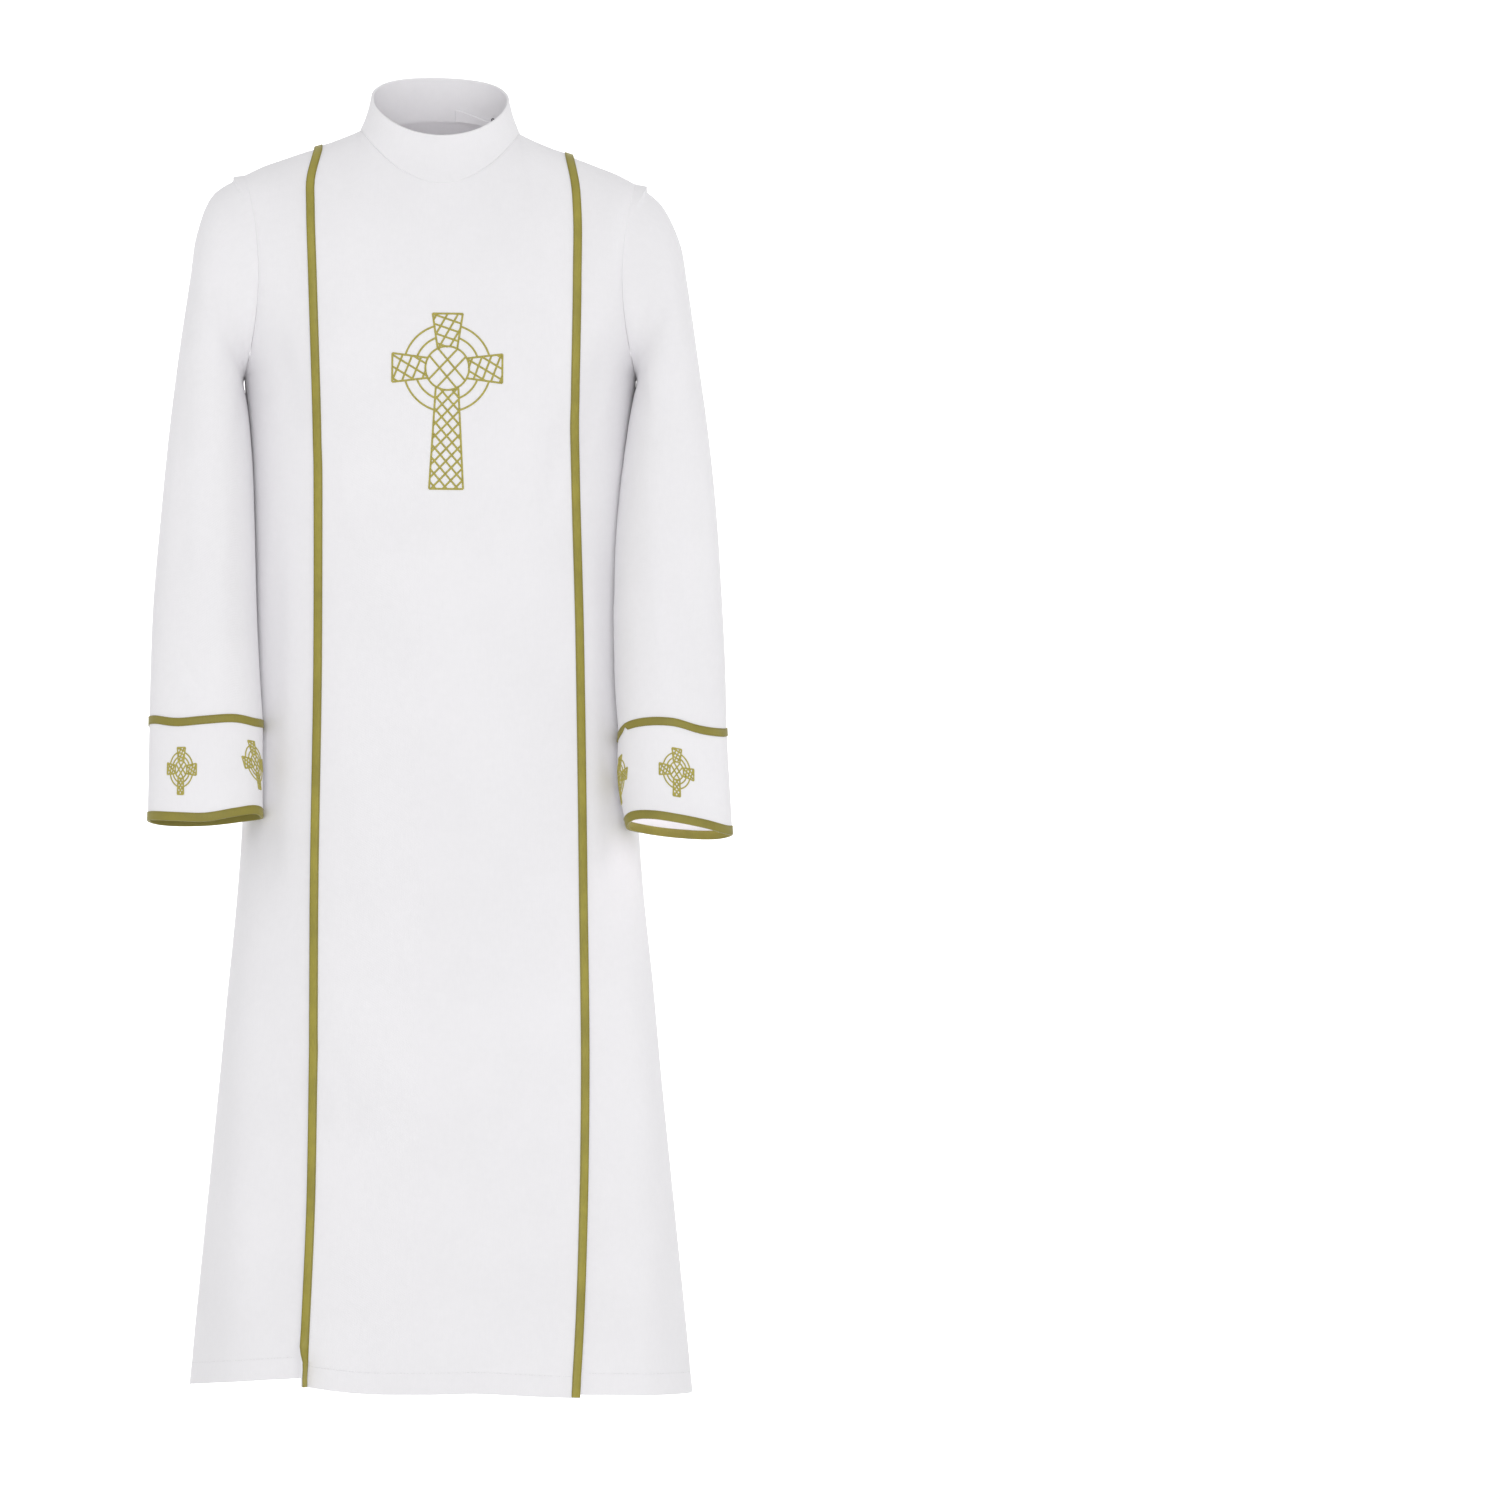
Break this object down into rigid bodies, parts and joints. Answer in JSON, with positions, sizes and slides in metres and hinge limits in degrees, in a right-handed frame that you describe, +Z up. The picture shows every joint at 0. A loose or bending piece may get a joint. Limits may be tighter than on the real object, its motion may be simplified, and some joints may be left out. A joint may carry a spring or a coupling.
{
  "type": "priest robe",
  "caption": "Hollow long-sleeved priest robe with a stand collar, an overlapping centre panel front and back, edging ribbons and banded cuffs, in the form it has when worn.",
  "frame": {"origin": "the middle of the neck, at the height where the shoulder seams meet the collar", "axes": "+Z up along the wearer, -Y out of the front, +X to the wearer's left"},
  "size_m": [0.6349, 0.3954, 1.4453],
  "materials": {
    "white_cloth": "matt woven polyester with a soft sheen",
    "gold_ribbon": "satin ribbon, slightly shiny"
  },
  "bodies": {
    "root": {"front_panel": "white_cloth", "back_panel": "white_cloth", "side_front_left": "white_cloth", "side_front_right": "white_cloth", "side_back_left": "white_cloth", "side_back_right": "white_cloth", "collar": "white_cloth", "collar_underlap": "white_cloth", "sleeve_left": "white_cloth", "sleeve_right": "white_cloth", "cuff_left": "white_cloth", "cuff_right": "white_cloth", "front_ribbon_left": "gold_ribbon", "front_ribbon_right": "gold_ribbon", "cuff_top_ribbon_left": "gold_ribbon", "cuff_top_ribbon_right": "gold_ribbon", "cuff_binding_left": "gold_ribbon", "cuff_binding_right": "gold_ribbon"}
  },
  "joints": []
}
